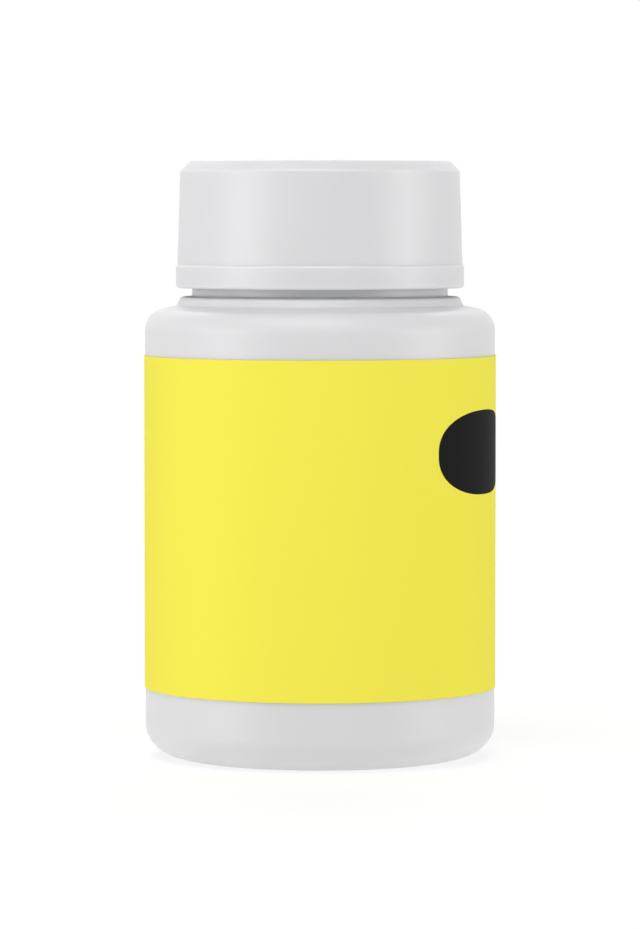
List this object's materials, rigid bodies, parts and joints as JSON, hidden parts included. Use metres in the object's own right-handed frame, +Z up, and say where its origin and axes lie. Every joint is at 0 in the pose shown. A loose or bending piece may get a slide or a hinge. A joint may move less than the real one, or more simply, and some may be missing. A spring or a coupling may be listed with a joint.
{
  "type": "nail polish remover bottle",
  "caption": "Squat round dip-in remover bottle with a wrap label, a smooth screw cap with a foam liner, and a sponge with a finger hole inside.",
  "frame": {"origin": "centre of the foot ring, on the plane that the bottle stands on", "axes": "+Z up along the bottle's axis, -Y towards the front of the label, +X to the right of the front view"},
  "size_m": [0.05, 0.05, 0.0846],
  "materials": {
    "white_bottle": "satin blow-moulded HDPE",
    "yellow_label": "printed satin film",
    "sponge_foam": "open-cell foam",
    "white_cap": "smooth injection-moulded polypropylene",
    "liner_foam": "closed-cell polyethylene foam"
  },
  "bodies": {
    "bottle": {"bottle": "white_bottle", "label": "yellow_label", "dip_sponge": "sponge_foam"},
    "liner": {"cap_liner": "liner_foam"},
    "cap": {"cap": "white_cap"}
  },
  "joints": [
    {"name": "cap_lift", "type": "slide", "parent": "bottle", "child": "liner", "axis": [0, 0, 1], "range_m": [0, 0.0254]},
    {"name": "cap_turn", "type": "hinge", "parent": "liner", "child": "cap", "pos_m": [0, 0, 0.0752], "axis": [0, 0, 1], "range_deg": [0, 2160]}
  ],
  "couplings": [
    {"joint": "cap_lift", "follows": "cap_turn", "m_per_rad": 0.00067375}
  ]
}
